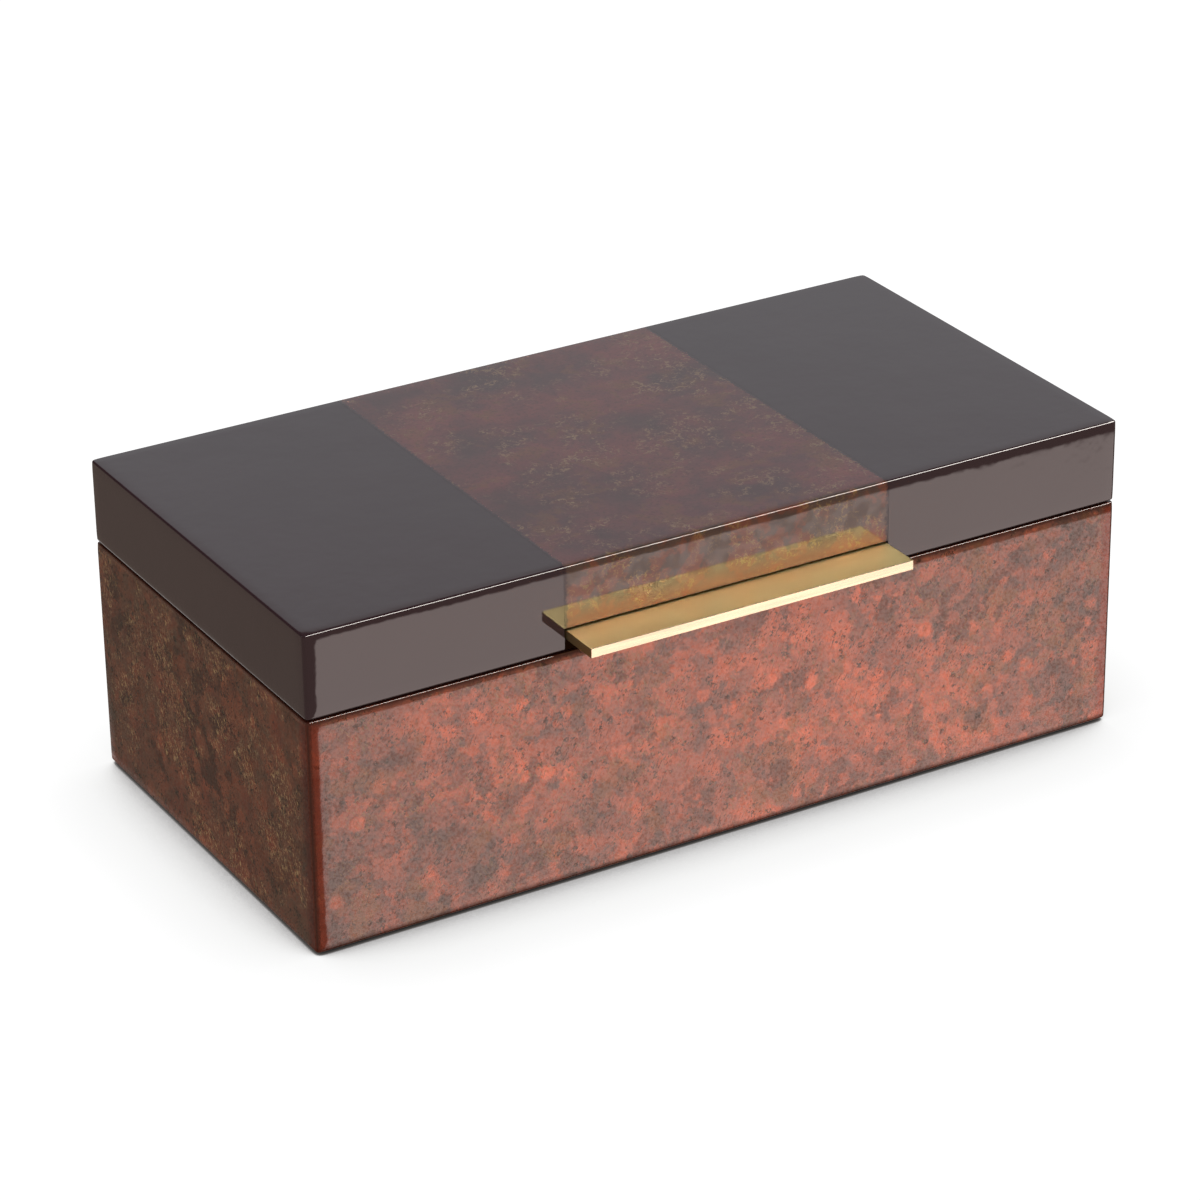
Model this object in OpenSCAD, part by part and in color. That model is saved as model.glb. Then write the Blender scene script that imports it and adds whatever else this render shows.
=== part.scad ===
// Lacquered lidded box with an inlaid band, a brass bar pull and stop hinges.
//
// Millimetres, +Z up. X runs along the front, and Y from the front (-Y) to the
// hinged back (+Y). The origin is on the table, under the middle of the case.
//
// The case and the lid are each four mitred sides with loose tongues in the
// mitres. A floor panel and a top panel lie in rebates. A veneer band is let in
// flush over the lid, a flat brass bar is mortised into its front rail, and two
// brass hinges with bevelled tails stop the lid a little past upright.

/* [Overall] */
// Length of the box along its front
box_w = 300; // [240:5:420]
// Depth of the box from front to back
box_d = 151; // [110:1:260]
// Height of the case walls
case_h = 80.5; // [50:0.5:160]
// Height of the lid
lid_h = 28.7; // [25:0.1:60]
// Shadow gap between the case and the closed lid
seam_gap = 0.8; // [0.7:0.05:1.2]

/* [Carcass] */
// Thickness of the case walls and of the lid rails
wall_t = 10; // [9:0.5:14]
// Radius of the upright corners, seen from above
corner_r = 2; // [1:0.25:4]
// Radius of the edge round the top of the lid
top_edge_r = 1; // [0.5:0.1:2]
// Radius of the lower outer edge of the lid
lid_rim_r = 1.5; // [0.5:0.1:2]
// Radius of the upper outer edge of the case
case_rim_r = 0.8; // [0.4:0.1:1.5]
// Radius of the lower outer edge of the case
foot_edge_r = 2; // [1:0.25:3]
// Thickness of the floor panel
floor_t = 6; // [4:0.5:9]
// Thickness of the lid's top panel
panel_t = 6; // [4:0.5:8]
// Depth of the rebates that hold the two panels
rebate_d = 5; // [3:0.5:6]

/* [Mitre tongues] */
// Thickness of the loose tongues
tongue_t = 3; // [2:0.25:3.5]
// Width of the loose tongues across the mitre
tongue_w = 8; // [5:0.5:9]
// Wood left outside the tongues
tongue_cover = 2.2; // [1.5:0.1:2.4]
// Distance of the tongues from the rims and panels
tongue_stop = 3; // [1:0.5:5]
// Room for glue round the tongues
glue_gap = 0.05; // [0.02:0.01:0.1]

/* [Inlay] */
// Width of the band inlaid across the lid
band_w = 120; // [80:1:170]
// Thickness of the inlaid veneer
veneer_t = 1; // [0.6:0.1:1.5]

/* [Pull] */
// How far each end of the bar stops short of the band's edge
pull_inset = 0.5; // [0.25:0.25:5]
// Thickness of the bar
pull_t = 3.2; // [2:0.1:5]
// How far the bar stands out of the lid
pull_reach = 15.3; // [8:0.1:25]
// Depth of the bar in its mortise
pull_tongue = 8; // [7:0.5:8.5]
// Wood under the bar's mortise
pull_lift = 3.8; // [3:0.1:8]
// Chamfer along the bar's edges and ends
pull_chamfer = 0.3; // [0.1:0.05:0.8]
// Gap round the bar in its mortise
pull_gap = 0.1; // [0.05:0.01:0.2]
// Distance of the bar's outer screws from its ends
pull_screw_inset = 17.5; // [8:0.5:25]

/* [Hinges] */
// Length of each hinge
hinge_w = 34; // [25:1:45]
// Distance from the end of the box to the hinge
hinge_inset = 28; // [15:1:35]
// Thickness of each leaf
leaf_t = 4; // [3.6:0.1:4.5]
// Depth of each leaf in its mortise
leaf_d = 7; // [6:0.25:8]
// Radius of the leaves' inner corners, as a router leaves them in the mortise
leaf_corner_r = 2.5; // [1:0.25:3]
// Gap round each leaf in its mortise
leaf_gap = 0.05; // [0.02:0.01:0.1]
// Diameter of the barrel
barrel_d = 4.8; // [4:0.1:5.4]
// Clearance round the barrel
barrel_gap = 0.3; // [0.2:0.05:0.5]
// Number of knuckles in the barrel
knuckles = 5; // [3, 5, 7]
// Gap between two knuckles
knuckle_gap = 0.2; // [0.1:0.05:0.4]
// Diameter of the hinge pin
pin_d = 2; // [1.6:0.1:2.4]
// Chamfer round the ends of the pin
pin_chamfer = 0.3; // [0.1:0.05:0.5]
// Radial clearance of the pin in the lid's knuckles, which turn on it
pin_running_gap = 0.05; // [0.02:0.01:0.1]
// Radial clearance of the pin in the case's knuckles, which hold it
pin_fixed_gap = 0.01; // [0.01:0.005:0.02]
// Angle at which the tails stop the lid
stop_angle = 95; // [90:1:110]
// Gap between the tails at the stop
stop_gap = 0.1; // [0.05:0.01:0.3]

/* [Screws] */
// Diameter of the hinge screw heads
hinge_head_d = 4.2; // [3.4:0.1:4.6]
// Diameter of the hinge screw shanks
hinge_shank_d = 2.2; // [1.6:0.1:2.6]
// Length of the hinge screws
hinge_screw_l = 14; // [8:0.5:18]
// Spacing of the three screws in a leaf
hinge_screw_pitch = 11; // [7:0.5:12]
// Diameter of the pull screw heads
pull_head_d = 5.4; // [4:0.1:6]
// Diameter of the pull screw shanks
pull_shank_d = 3; // [2:0.1:3.5]
// Gap round every screw
screw_gap = 0.05; // [0.02:0.01:0.1]
// Width of the driver slots
slot_w = 0.6; // [0.4:0.1:0.8]
// Depth of the driver slots
slot_d = 0.6; // [0.4:0.1:0.8]

/* [Lining and felt] */
// Thickness of the felt under the case
felt_t = 1; // [0.5:0.1:2]
// Distance of the felt's edge from the outside of the case
felt_inset = 4; // [3:0.5:8]
// Thickness of the padded lining boards
lining_t = 2.5; // [2:0.1:4]
// Thickness of the floor pad and the lid pad
pad_t = 3; // [2:0.1:5]
// Radius of the lining's soft edges
lining_r = 0.8; // [0.4:0.1:0.9]
// Gap round each lining board and pad
lining_gap = 0.2; // [0.1:0.05:0.4]
// Distance of the lining below the rims
lining_drop = 2; // [1:0.5:5]
// Diameter of the felt dots on the case's rim
bumper_d = 5; // [3:0.5:7]
// Thickness of the felt dots
bumper_t = 0.5; // [0.3:0.05:0.6]

/* [Hidden] */
$fn = 48;

mottled_lacquer = [0.48, 0.25, 0.20];
dark_lacquer = [0.17, 0.12, 0.12];
band_lacquer = [0.43, 0.33, 0.31];
polished_brass = [0.78, 0.64, 0.38];
tongue_wood = [0.70, 0.55, 0.38];
lining_velvet = [0.20, 0.13, 0.12];
dark_felt = [0.10, 0.09, 0.09];

// How far a cutting shape runs past the surface that it cuts
over = 2;

half_w = box_w / 2;
half_d = box_d / 2;
inner_w = box_w - 2 * wall_t;
inner_d = box_d - 2 * wall_t;

// Heights, from the table up
case_z = felt_t;
floor_z = case_z + floor_t;
rim_z = case_z + case_h;
lid_z = rim_z + seam_gap;
top_z = lid_z + lid_h;
ceiling_z = top_z - panel_t;
pull_z = lid_z + pull_lift;

// Width of wood left outside the rebates, and the size of the panels
rebate_edge = wall_t - rebate_d;
panel_w = box_w - 2 * rebate_edge;
panel_d = box_d - 2 * rebate_edge;

// The tongues' middle lies this far in from each outer face
tongue_in = tongue_cover + (tongue_w + tongue_t) / 2 / sqrt(2);

// Hinge axis: behind the back face, halfway up the shadow gap
barrel_r = barrel_d / 2;
pin_r = pin_d / 2;
axis_y = half_d + barrel_r + barrel_gap;
axis_z = rim_z + seam_gap / 2;
hinge_x = half_w - hinge_inset - hinge_w / 2;
knuckle_pitch = hinge_w / knuckles;

// The bar is as long as the band is wide, less its inset at both ends
pull_w = band_w - 2 * pull_inset;
pull_screw_pitch = pull_w / 2 - pull_screw_inset;

// The screws stand in the middle of the leaf and of the front rail
hinge_screw_y = half_d - leaf_d / 2;
pull_screw_y = -half_d + wall_t / 2;
pull_screw_l = pull_lift + pull_t;

// ---------------------------------------------------------------- outlines

// Rectangle seen from above, with its corners rounded
module plan_outline(w, d, r) {
    square([w - 2 * r, d], center = true);
    square([w, d - 2 * r], center = true);
    for (sx = [-1, 1], sy = [-1, 1])
        translate([sx * (w / 2 - r), sy * (d / 2 - r)]) circle(r);
}

// Upright section of width w and height h that stands on the line y = 0,
// with one radius for its lower corners and another for its upper ones
module edge_profile(w, h, low_r, high_r) {
    translate([-w / 2, low_r]) square([w, h - low_r - high_r]);
    translate([-w / 2 + low_r, 0]) square([w - 2 * low_r, low_r + 0.001]);
    translate([-w / 2 + high_r, h - high_r - 0.001]) square([w - 2 * high_r, high_r + 0.001]);
    for (s = [-1, 1]) {
        translate([s * (w / 2 - low_r), low_r]) circle(low_r);
        translate([s * (w / 2 - high_r), h - high_r]) circle(high_r);
    }
}

// Block on the plane z = 0 with rounded upright corners and rounded edges:
// what its three outlines have in common
module softened_block(w, d, h, plan_r, low_r, high_r) {
    intersection() {
        linear_extrude(h) plan_outline(w, d, plan_r);
        translate([0, d / 2, 0]) rotate([90, 0, 0])
            linear_extrude(d) edge_profile(w, h, low_r, high_r);
        translate([-w / 2, 0, 0]) rotate([90, 0, 90])
            linear_extrude(w) edge_profile(d, h, low_r, high_r);
    }
}

// Block from one corner to the opposite one
module span(from, to) {
    translate(from) cube(to - from);
}

// ------------------------------------------------------------ mitred sides

// Angle about Z that turns the front side into the named one
function side_turn(side) =
    side == "front" ? 0 : side == "right" ? 90 : side == "back" ? 180 : 270;

function is_long(side) = side == "front" || side == "back";

// Wedge that cuts one side out of a ring, with a 45 degree face at each end
module mitre_wedge(side) {
    run = is_long(side) ? half_w : half_d;
    face = is_long(side) ? half_d : half_w;
    reach = wall_t + over;
    rotate([0, 0, side_turn(side)]) translate([0, -face, -over])
        linear_extrude(top_z + 2 * over)
            polygon([[-run - over, -over], [run + over, -over],
                     [run - reach, reach], [-run + reach, reach]]);
}

// The loose tongues across all four mitres, or their grooves where gap > 0
module tongues(low_z, high_z, gap) {
    for (sx = [-1, 1], sy = [-1, 1])
        translate([sx * (half_w - tongue_in), sy * (half_d - tongue_in), low_z - gap])
            rotate([0, 0, -45 * sx * sy])
                translate([-tongue_w / 2 - gap, -tongue_t / 2 - gap, 0])
                    cube([tongue_w + 2 * gap, tongue_t + 2 * gap, high_z - low_z + 2 * gap]);
}

module case_tongues(gap) {
    tongues(floor_z + tongue_stop, rim_z - leaf_t - tongue_stop, gap);
}

module lid_tongues(gap) {
    tongues(lid_z + leaf_t + tongue_stop, ceiling_z - tongue_stop, gap);
}

// Outer form of the closed case and of the lid
module case_form() {
    translate([0, 0, case_z])
        softened_block(box_w, box_d, case_h, corner_r, foot_edge_r, case_rim_r);
}

module lid_form() {
    translate([0, 0, lid_z])
        softened_block(box_w, box_d, lid_h, corner_r, lid_rim_r, top_edge_r);
}

// One mitred wall of the case, with the rebate for the floor panel
module case_wall(side) {
    difference() {
        intersection() {
            case_form();
            mitre_wedge(side);
        }
        span([-inner_w / 2, -inner_d / 2, case_z - over], [inner_w / 2, inner_d / 2, rim_z + over]);
        span([-panel_w / 2, -panel_d / 2, case_z - over], [panel_w / 2, panel_d / 2, floor_z]);
        case_tongues(glue_gap);
    }
}

// One mitred rail of the lid, with the rebate for the top panel
module lid_rail(side) {
    difference() {
        intersection() {
            lid_form();
            mitre_wedge(side);
        }
        span([-inner_w / 2, -inner_d / 2, lid_z - over], [inner_w / 2, inner_d / 2, top_z + over]);
        span([-panel_w / 2, -panel_d / 2, ceiling_z], [panel_w / 2, panel_d / 2, top_z + over]);
        lid_tongues(glue_gap);
    }
}

// ------------------------------------------------------------------- inlay

// Room for the veneer over the top of the lid
module top_band_room() {
    span([-band_w / 2, -half_d - over, top_z - veneer_t], [band_w / 2, half_d + over, top_z + over]);
}

// Room for the veneer down the front (-1) or the back (1) of the lid
module face_band_room(way) {
    inner = way * (half_d - veneer_t);
    outer = way * (half_d + over);
    span([-band_w / 2, min(inner, outer), lid_z - over],
         [band_w / 2, max(inner, outer), top_z - veneer_t]);
}

// -------------------------------------------------------------------- pull

// Space of the bar's mortise in the rail, of the given length along X
module pull_mortise(length) {
    span([-length / 2, -half_d - over, pull_z - pull_gap],
         [length / 2, -half_d + pull_tongue + pull_gap, pull_z + pull_t + pull_gap]);
}

module at_pull_screws() {
    for (i = [-1:1]) translate([i * pull_screw_pitch, pull_screw_y, lid_z]) children();
}

// ------------------------------------------------------------------ screws

// Countersunk screw, or its hole where gap > 0: the head's face is at z = 0
// and the shank runs down from it
module screw_form(head_d, shank_d, length, gap) {
    head_r = head_d / 2 + gap;
    shank_r = shank_d / 2 + gap;
    rotate_extrude()
        polygon([[0, 0], [head_r, 0], [shank_r, shank_r - head_r],
                 [shank_r, -length + shank_r - gap], [0, -length - gap]]);
}

// Screw with a slot in its head
module slotted_screw(head_d, shank_d, length) {
    difference() {
        screw_form(head_d, shank_d, length, 0);
        translate([-head_d, -slot_w / 2, -slot_d]) cube([2 * head_d, slot_w, slot_d + over]);
    }
}

// ------------------------------------------------------------------ hinges

// Puts a hinge part, drawn round the axis, at the left (-1) or right (1) hinge
module at_hinge(side) {
    translate([side * hinge_x, axis_y, axis_z]) children();
}

// Turns a section in the plane of Y and Z into a bar of the given length along X
module along_hinge(length) {
    translate([-length / 2, 0, 0]) rotate([90, 0, 90]) linear_extrude(length) children();
}

// Cylinder round the axis that fills knuckle place i, less a gap at each inner end
module knuckle(i, r, gap) {
    start = -hinge_w / 2 + i * knuckle_pitch + (i == 0 ? 0 : gap / 2);
    end = -hinge_w / 2 + (i + 1) * knuckle_pitch - (i == knuckles - 1 ? 0 : gap / 2);
    translate([start, 0, 0]) rotate([0, 90, 0]) cylinder(h = end - start, r = r);
}

// Section of a case leaf: a plate from the mortise to behind the barrel, where
// a face bevelled to half the stop angle meets the lid leaf's at the stop
module leaf_section() {
    half_stop = stop_angle / 2;
    back_off = stop_gap / 2 / sin(half_stop);
    upper = -seam_gap / 2;
    lower = upper - leaf_t;
    inner = half_d - leaf_d - axis_y;
    polygon([[inner, upper], [inner, lower],
             [-lower / tan(half_stop) - back_off, lower],
             [-upper / tan(half_stop) - back_off, upper]]);
}

// Leaf seen from above, grown by gap: its two inner corners are rounded, and it
// runs out behind the barrel
module leaf_plan(gap) {
    half_l = hinge_w / 2 + gap;
    inner = half_d - leaf_d - gap - axis_y;
    r = leaf_corner_r + gap;
    outer = barrel_d + over;
    translate([-half_l, inner + r]) square([2 * half_l, outer - inner - r]);
    translate([-half_l + r, inner]) square([2 * (half_l - r), outer - inner]);
    for (s = [-1, 1]) translate([s * (half_l - r), inner + r]) circle(r);
}

module at_leaf_screws() {
    for (i = [-1:1])
        translate([i * hinge_screw_pitch, hinge_screw_y - axis_y, -seam_gap / 2]) children();
}

// A leaf lies below the axis. first is the place of its first knuckle, and
// bore_gap the radial clearance of the pin in its knuckles.
module hinge_leaf(first, bore_gap) {
    difference() {
        union() {
            difference() {
                intersection() {
                    along_hinge(hinge_w) leaf_section();
                    translate([0, 0, -leaf_t - over]) linear_extrude(leaf_t + over) leaf_plan(0);
                }
                for (i = [1 - first:2:knuckles - 1]) knuckle(i, barrel_r + barrel_gap, 0);
            }
            for (i = [first:2:knuckles - 1]) knuckle(i, barrel_r, knuckle_gap);
        }
        translate([-hinge_w / 2 - over, 0, 0]) rotate([0, 90, 0])
            cylinder(h = hinge_w + 2 * over, r = pin_r + bore_gap);
        at_leaf_screws() screw_form(hinge_head_d, hinge_shank_d, hinge_screw_l, screw_gap);
    }
}

// Mortise for a leaf in the rim below the axis
module leaf_mortise() {
    depth = seam_gap / 2 + leaf_t + leaf_gap;
    translate([0, 0, -depth]) linear_extrude(depth + over) leaf_plan(leaf_gap);
}

// What a leaf and its screws take out of the wood below the axis
module leaf_cuts() {
    leaf_mortise();
    at_leaf_screws() screw_form(hinge_head_d, hinge_shank_d, hinge_screw_l, screw_gap);
}

// Turns a part below the axis into its twin above it
module above_axis() {
    mirror([0, 0, 1]) children();
}

// Pin along the axis, with a chamfer round both ends
module hinge_pin() {
    end = hinge_w / 2;
    c = pin_chamfer;
    rotate([0, 90, 0]) rotate_extrude()
        polygon([[0, -end], [pin_r - c, -end], [pin_r, -end + c],
                 [pin_r, end - c], [pin_r - c, end], [0, end]]);
}

// ------------------------------------------------------------------ lining

// Padded board between two corners, with soft edges
module padded_board(from, to) {
    size = to - from;
    translate([(from[0] + to[0]) / 2, (from[1] + to[1]) / 2, from[2]])
        softened_block(size[0], size[1], size[2], lining_r, lining_r, lining_r);
}

// Where the long boards' faces, the short boards' ends and the pads' edges lie
board_x = inner_w / 2 - lining_gap;
board_y = inner_d / 2 - lining_gap;
between_y = board_y - lining_t - lining_gap;
pad_x = board_x - lining_t - lining_gap;

// Board along the front (-1) or the back (1)
module long_board(way, low_z, high_z) {
    near = way * (board_y - lining_t);
    far = way * board_y;
    padded_board([-board_x, min(near, far), low_z], [board_x, max(near, far), high_z]);
}

// Board along the left (-1) or the right (1), between the long ones
module short_board(way, low_z, high_z) {
    near = way * (board_x - lining_t);
    far = way * board_x;
    padded_board([min(near, far), -between_y, low_z], [max(near, far), between_y, high_z]);
}

module pad(low_z) {
    padded_board([-pad_x, -between_y, low_z], [pad_x, between_y, low_z + pad_t]);
}

case_board_low = floor_z + lining_gap;
case_board_high = rim_z - lining_drop;
lid_board_low = lid_z + lining_drop;
lid_board_high = ceiling_z - lining_gap;

// ------------------------------------------------------- case, and what it holds

module case_front_wall() {
    color(mottled_lacquer) case_wall("front");
}

module case_back_wall() {
    color(mottled_lacquer) difference() {
        case_wall("back");
        for (side = [-1, 1]) at_hinge(side) leaf_cuts();
    }
}

module case_left_wall() {
    color(mottled_lacquer) case_wall("left");
}

module case_right_wall() {
    color(mottled_lacquer) case_wall("right");
}

module case_floor_panel() {
    color(tongue_wood)
        span([-panel_w / 2, -panel_d / 2, case_z], [panel_w / 2, panel_d / 2, floor_z]);
}

module case_corner_tongues() {
    color(tongue_wood) case_tongues(0);
}

module base_felt() {
    color(dark_felt)
        linear_extrude(felt_t)
            plan_outline(box_w - 2 * felt_inset, box_d - 2 * felt_inset, felt_inset);
}

module floor_pad() {
    color(lining_velvet) pad(case_board_low);
}

module case_front_lining() {
    color(lining_velvet) long_board(-1, case_board_low, case_board_high);
}

module case_back_lining() {
    color(lining_velvet) long_board(1, case_board_low, case_board_high);
}

module case_left_lining() {
    color(lining_velvet) short_board(-1, case_board_low, case_board_high);
}

module case_right_lining() {
    color(lining_velvet) short_board(1, case_board_low, case_board_high);
}

module rim_bumpers() {
    color(dark_felt)
        for (sx = [-1, 1], sy = [-1, 1])
            translate([sx * (half_w - wall_t / 2), sy * (half_d - wall_t / 2), rim_z])
                cylinder(h = bumper_t, d = bumper_d);
}

module left_hinge_case_leaf() {
    color(polished_brass) at_hinge(-1) hinge_leaf(0, pin_fixed_gap);
}

module right_hinge_case_leaf() {
    color(polished_brass) at_hinge(1) hinge_leaf(0, pin_fixed_gap);
}

module left_hinge_pin() {
    color(polished_brass) at_hinge(-1) hinge_pin();
}

module right_hinge_pin() {
    color(polished_brass) at_hinge(1) hinge_pin();
}

module hinge_case_screws() {
    color(polished_brass)
        for (side = [-1, 1]) at_hinge(side) at_leaf_screws()
            slotted_screw(hinge_head_d, hinge_shank_d, hinge_screw_l);
}

// -------------------------------------------------------- lid, and what it holds

module lid_top_panel() {
    color(dark_lacquer) difference() {
        span([-panel_w / 2, -panel_d / 2, ceiling_z], [panel_w / 2, panel_d / 2, top_z]);
        top_band_room();
    }
}

module lid_front_rail() {
    color(dark_lacquer) difference() {
        lid_rail("front");
        top_band_room();
        face_band_room(-1);
        pull_mortise(pull_w + 2 * pull_gap);
        at_pull_screws() mirror([0, 0, 1])
            screw_form(pull_head_d, pull_shank_d, pull_screw_l, screw_gap);
    }
}

module lid_back_rail() {
    color(dark_lacquer) difference() {
        lid_rail("back");
        top_band_room();
        face_band_room(1);
        for (side = [-1, 1]) at_hinge(side) above_axis() leaf_cuts();
    }
}

module lid_left_rail() {
    color(dark_lacquer) lid_rail("left");
}

module lid_right_rail() {
    color(dark_lacquer) lid_rail("right");
}

module lid_corner_tongues() {
    color(tongue_wood) lid_tongues(0);
}

module inlay_top() {
    color(band_lacquer) intersection() {
        lid_form();
        top_band_room();
    }
}

// The front strip is in two pieces, above and below the bar
module inlay_front() {
    color(band_lacquer) difference() {
        intersection() {
            lid_form();
            face_band_room(-1);
        }
        pull_mortise(band_w + over);
    }
}

module inlay_back() {
    color(band_lacquer) intersection() {
        lid_form();
        face_band_room(1);
    }
}

// Section of the bar with a chamfer at its lower and upper end corners. It
// runs from the given end on its left to the one on its right.
module bar_section(left, right) {
    c = pull_chamfer;
    polygon([[left, c], [left + c, 0], [right - c, 0], [right, c],
             [right, pull_t - c], [right - c, pull_t], [left + c, pull_t], [left, pull_t - c]]);
}

// Flat bar with all its edges chamfered and a tapped hole over each screw: what
// its sections along and across have in common
module pull_plate() {
    front = -half_d - pull_reach;
    back = -half_d + pull_tongue;
    color(polished_brass) difference() {
        intersection() {
            translate([-pull_w / 2, 0, pull_z]) rotate([90, 0, 90])
                linear_extrude(pull_w) bar_section(front, back);
            translate([0, back, pull_z]) rotate([90, 0, 0])
                linear_extrude(back - front) bar_section(-pull_w / 2, pull_w / 2);
        }
        at_pull_screws() cylinder(h = pull_lift + pull_t + over, d = pull_shank_d + 2 * screw_gap);
    }
}

module pull_screws() {
    color(polished_brass) at_pull_screws() mirror([0, 0, 1])
        slotted_screw(pull_head_d, pull_shank_d, pull_screw_l);
}

module lid_pad() {
    color(lining_velvet) pad(lid_board_high - pad_t);
}

module lid_front_lining() {
    color(lining_velvet) long_board(-1, lid_board_low, lid_board_high);
}

module lid_back_lining() {
    color(lining_velvet) long_board(1, lid_board_low, lid_board_high);
}

module lid_left_lining() {
    color(lining_velvet) short_board(-1, lid_board_low, lid_board_high);
}

module lid_right_lining() {
    color(lining_velvet) short_board(1, lid_board_low, lid_board_high);
}

module left_hinge_lid_leaf() {
    color(polished_brass) at_hinge(-1) above_axis() hinge_leaf(1, pin_running_gap);
}

module right_hinge_lid_leaf() {
    color(polished_brass) at_hinge(1) above_axis() hinge_leaf(1, pin_running_gap);
}

module hinge_lid_screws() {
    color(polished_brass)
        for (side = [-1, 1]) at_hinge(side) above_axis() at_leaf_screws()
            slotted_screw(hinge_head_d, hinge_shank_d, hinge_screw_l);
}

case_front_wall();
case_back_wall();
case_left_wall();
case_right_wall();
case_floor_panel();
case_corner_tongues();
base_felt();
floor_pad();
case_front_lining();
case_back_lining();
case_left_lining();
case_right_lining();
rim_bumpers();
left_hinge_case_leaf();
right_hinge_case_leaf();
left_hinge_pin();
right_hinge_pin();
hinge_case_screws();
lid_top_panel();
lid_front_rail();
lid_back_rail();
lid_left_rail();
lid_right_rail();
lid_corner_tongues();
inlay_top();
inlay_front();
inlay_back();
pull_plate();
pull_screws();
lid_pad();
lid_front_lining();
lid_back_lining();
lid_left_lining();
lid_right_lining();
left_hinge_lid_leaf();
right_hinge_lid_leaf();
hinge_lid_screws();
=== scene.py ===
# %% [markdown]
# # A lacquered box with an inlaid band and a brass pull
#
# The real box is a small wooden case with a hinged lid: mottled red lacquer on its walls, plain dark
# lacquer on the lid, a veneer band let in flush over the lid, and a flat brass bar as the pull. The
# engineering model gives every part its place. Here its visible pieces are made, each in the frame of the
# part that it stands for.

# %% Load the frame
import math

import bmesh
import bpy
import numpy as np
from mathutils import Matrix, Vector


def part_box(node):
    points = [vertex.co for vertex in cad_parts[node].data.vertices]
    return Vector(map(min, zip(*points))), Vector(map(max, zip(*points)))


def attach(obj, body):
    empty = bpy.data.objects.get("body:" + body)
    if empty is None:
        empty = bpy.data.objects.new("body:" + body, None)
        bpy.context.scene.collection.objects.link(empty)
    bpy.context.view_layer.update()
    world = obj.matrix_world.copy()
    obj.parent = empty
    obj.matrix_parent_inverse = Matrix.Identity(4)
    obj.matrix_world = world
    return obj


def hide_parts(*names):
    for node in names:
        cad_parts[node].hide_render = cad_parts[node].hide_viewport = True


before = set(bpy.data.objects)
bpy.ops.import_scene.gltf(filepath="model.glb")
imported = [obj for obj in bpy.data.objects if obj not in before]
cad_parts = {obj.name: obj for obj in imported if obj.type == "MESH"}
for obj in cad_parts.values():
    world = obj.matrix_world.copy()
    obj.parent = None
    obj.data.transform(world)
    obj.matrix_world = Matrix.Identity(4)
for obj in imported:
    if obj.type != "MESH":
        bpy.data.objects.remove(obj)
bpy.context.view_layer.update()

mm = 0.001


# %% [markdown]
# ## Measures from the frame
#
# Where a part has a place in the frame, that place is read from it. Only what the frame doesn't tell, such
# as how far a rubbed-down face falls away towards its edges, is a value of this script.

# %% Measures
def box_of(*nodes):
    """Lowest and highest corner of some nodes of the frame, as two arrays."""
    lows, highs = zip(*(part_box(node) for node in nodes))
    return np.min(lows, axis=0), np.max(highs, axis=0)


CASE_NODES = ["case_front_wall", "case_back_wall", "case_left_wall", "case_right_wall"]
LID_NODES = ["lid_top_panel", "lid_front_rail", "lid_back_rail", "lid_left_rail", "lid_right_rail"]
case_low, case_high = box_of(*CASE_NODES)
lid_low, lid_high = box_of(*LID_NODES)
floor_high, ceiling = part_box("case_floor_panel")[1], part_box("lid_top_panel")[0][2]
band_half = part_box("inlay_top")[1][0]
pull_low, pull_high = box_of("pull_plate")
leaf_low, leaf_high = box_of("right_hinge_case_leaf")

half = case_high[:2]  # half the width and half the depth
wall = 10 * mm
rebate = half[0] - floor_high[0]
veneer = 1.0 * mm
leaf_play = 0.05 * mm  # the mortises are this much larger than the leaves
leaf_depth = half[1] - leaf_low[1] + leaf_play
leaf_mid = (leaf_low[0] + leaf_high[0]) / 2
leaf_half = (leaf_high[0] - leaf_low[0]) / 2 + leaf_play
case_mortise = leaf_low[2] - leaf_play  # heights of the mortises' floors
lid_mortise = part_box("right_hinge_lid_leaf")[1][2] + leaf_play
print("case", case_low, case_high, "lid", lid_low, lid_high)
print("rebate", rebate, "band", band_half, "leaf", leaf_mid, leaf_half, leaf_depth)


# %% [markdown]
# ## Meshes from grids
#
# Every new piece is a set of grids: arrays of points with rows and columns, worked out by a formula. One
# helper turns the grids into a mesh, welds the points that lie on each other, which closes poles and seams,
# and turns the faces outwards. Edges sharper than a limit stay crisp, and the rest is shaded smooth.

# %% From grids to a piece
def grid_faces(rows, columns, first, around):
    """Corner numbers of a grid's faces. Row after row is counted from first; around joins the last column
    to the first one."""
    row, column = np.meshgrid(np.arange(rows - 1), np.arange(columns - (not around)), indexing="ij")
    after = (column + 1) % columns
    corners = [row * columns + column, row * columns + after,
               (row + 1) * columns + after, (row + 1) * columns + column]
    return first + np.stack(corners, axis=-1).reshape(-1, 4)


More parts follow.
